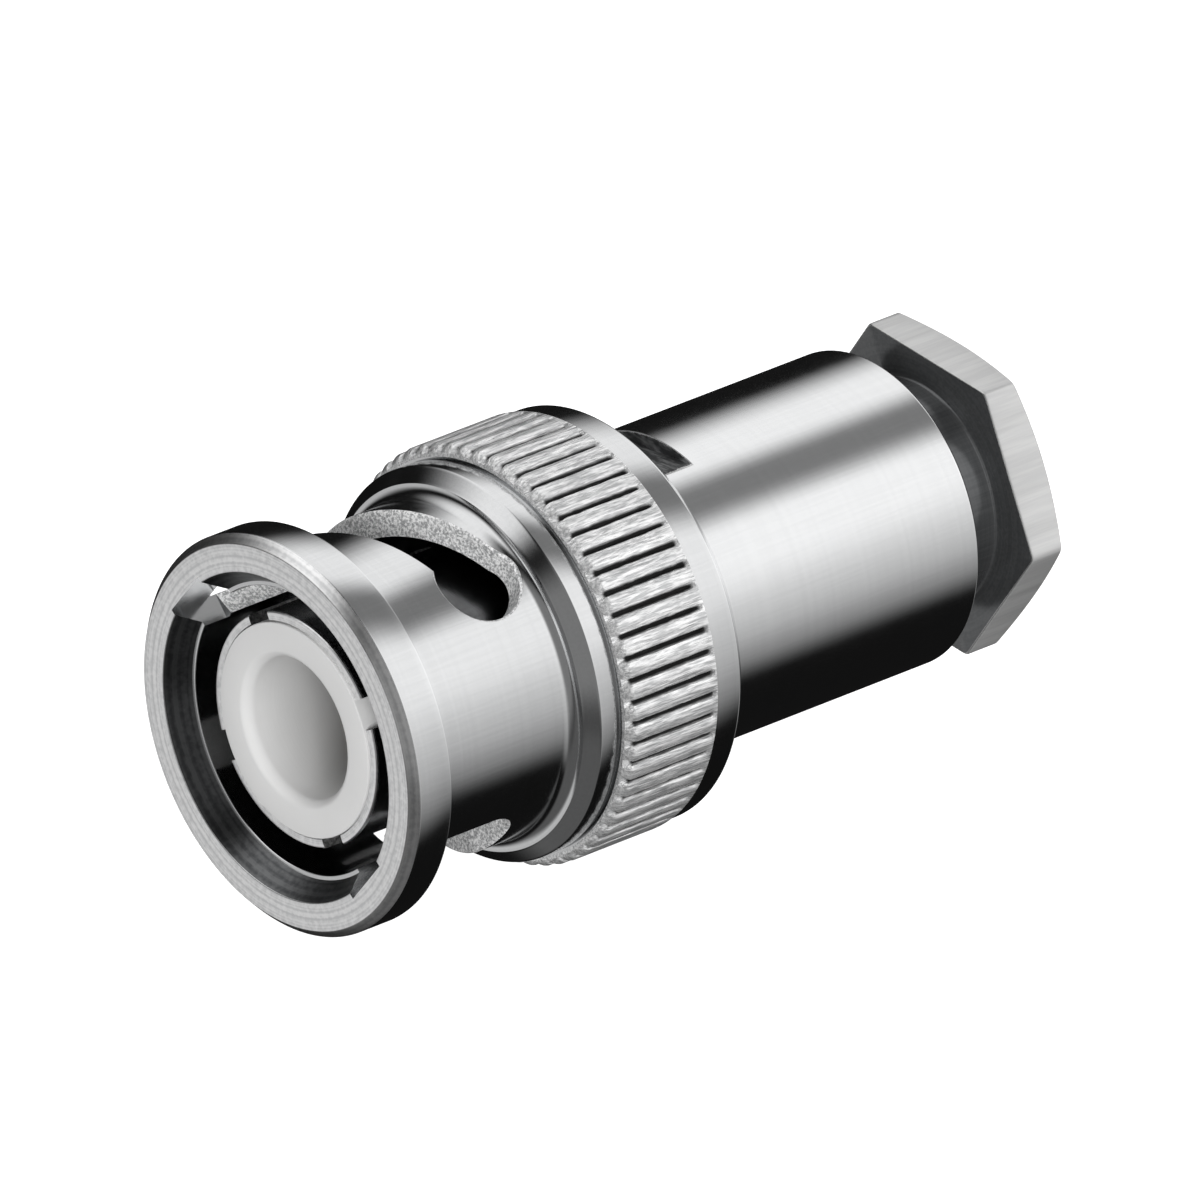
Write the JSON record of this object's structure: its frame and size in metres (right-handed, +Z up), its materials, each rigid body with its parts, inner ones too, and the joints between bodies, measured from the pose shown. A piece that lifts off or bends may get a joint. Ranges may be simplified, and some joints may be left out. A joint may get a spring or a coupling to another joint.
{
  "type": "bnc connector",
  "caption": "Clamp-type BNC plug: knurled bayonet coupling, slotted outer contact in white insulator, smooth shell and hexagonal cable clamp nut.",
  "frame": {"origin": "centre of the coupling's front face, on the connector's axis", "axes": "+X along the connector's axis from the mating face to the cable end, +Z up with the plug lying on its side, one flat of the hexagon facing straight down"},
  "size_m": [0.0296, 0.0144, 0.0144],
  "materials": {
    "nickel_plate": "bright nickel plate",
    "nut_nickel_plate": "satin nickel plate",
    "spring_steel": "plain spring steel",
    "contact_gold": "thin gold plate",
    "ptfe": "turned white PTFE",
    "seal_rubber": "plain black rubber"
  },
  "bodies": {
    "connector_body": {"body_shell": "nickel_plate", "contact_sleeve": "nickel_plate", "interface_gasket": "seal_rubber", "front_insulator": "ptfe", "rear_insulator": "ptfe", "center_pin": "contact_gold", "braid_clamp": "nickel_plate", "cable_gasket": "seal_rubber", "front_wave_washer": "spring_steel", "rear_wave_washer": "spring_steel"},
    "spring_plate": {"thrust_washer": "nickel_plate"},
    "coupling": {"bayonet_coupling": "nickel_plate", "retaining_ring": "spring_steel"},
    "nut_slider": {"slip_washer": "nickel_plate"},
    "nut": {"clamp_nut": "nut_nickel_plate"}
  },
  "joints": [
    {"name": "coupling_slide", "type": "slide", "parent": "connector_body", "child": "spring_plate", "axis": [1, 0, 0], "range_m": [-0.0004, 0], "stiffness_N_per_m": 500, "springref_m": 0.0003, "deforming": ["front_wave_washer", "rear_wave_washer"]},
    {"name": "coupling_turn", "type": "hinge", "parent": "spring_plate", "child": "coupling", "pos_m": [0.0132, 0, 0], "axis": [1, 0, 0], "continuous": true},
    {"name": "clamp_nut_slide", "type": "slide", "parent": "connector_body", "child": "nut_slider", "axis": [1, 0, 0], "range_m": [-0.0019, 0.003]},
    {"name": "clamp_nut_turn", "type": "hinge", "parent": "nut_slider", "child": "nut", "pos_m": [0.0265, 0, 0], "axis": [1, 0, 0], "range_deg": [-913, 1441]}
  ],
  "couplings": [
    {"joint": "clamp_nut_turn", "follows": "clamp_nut_slide", "rad_per_m": 8377.6}
  ]
}
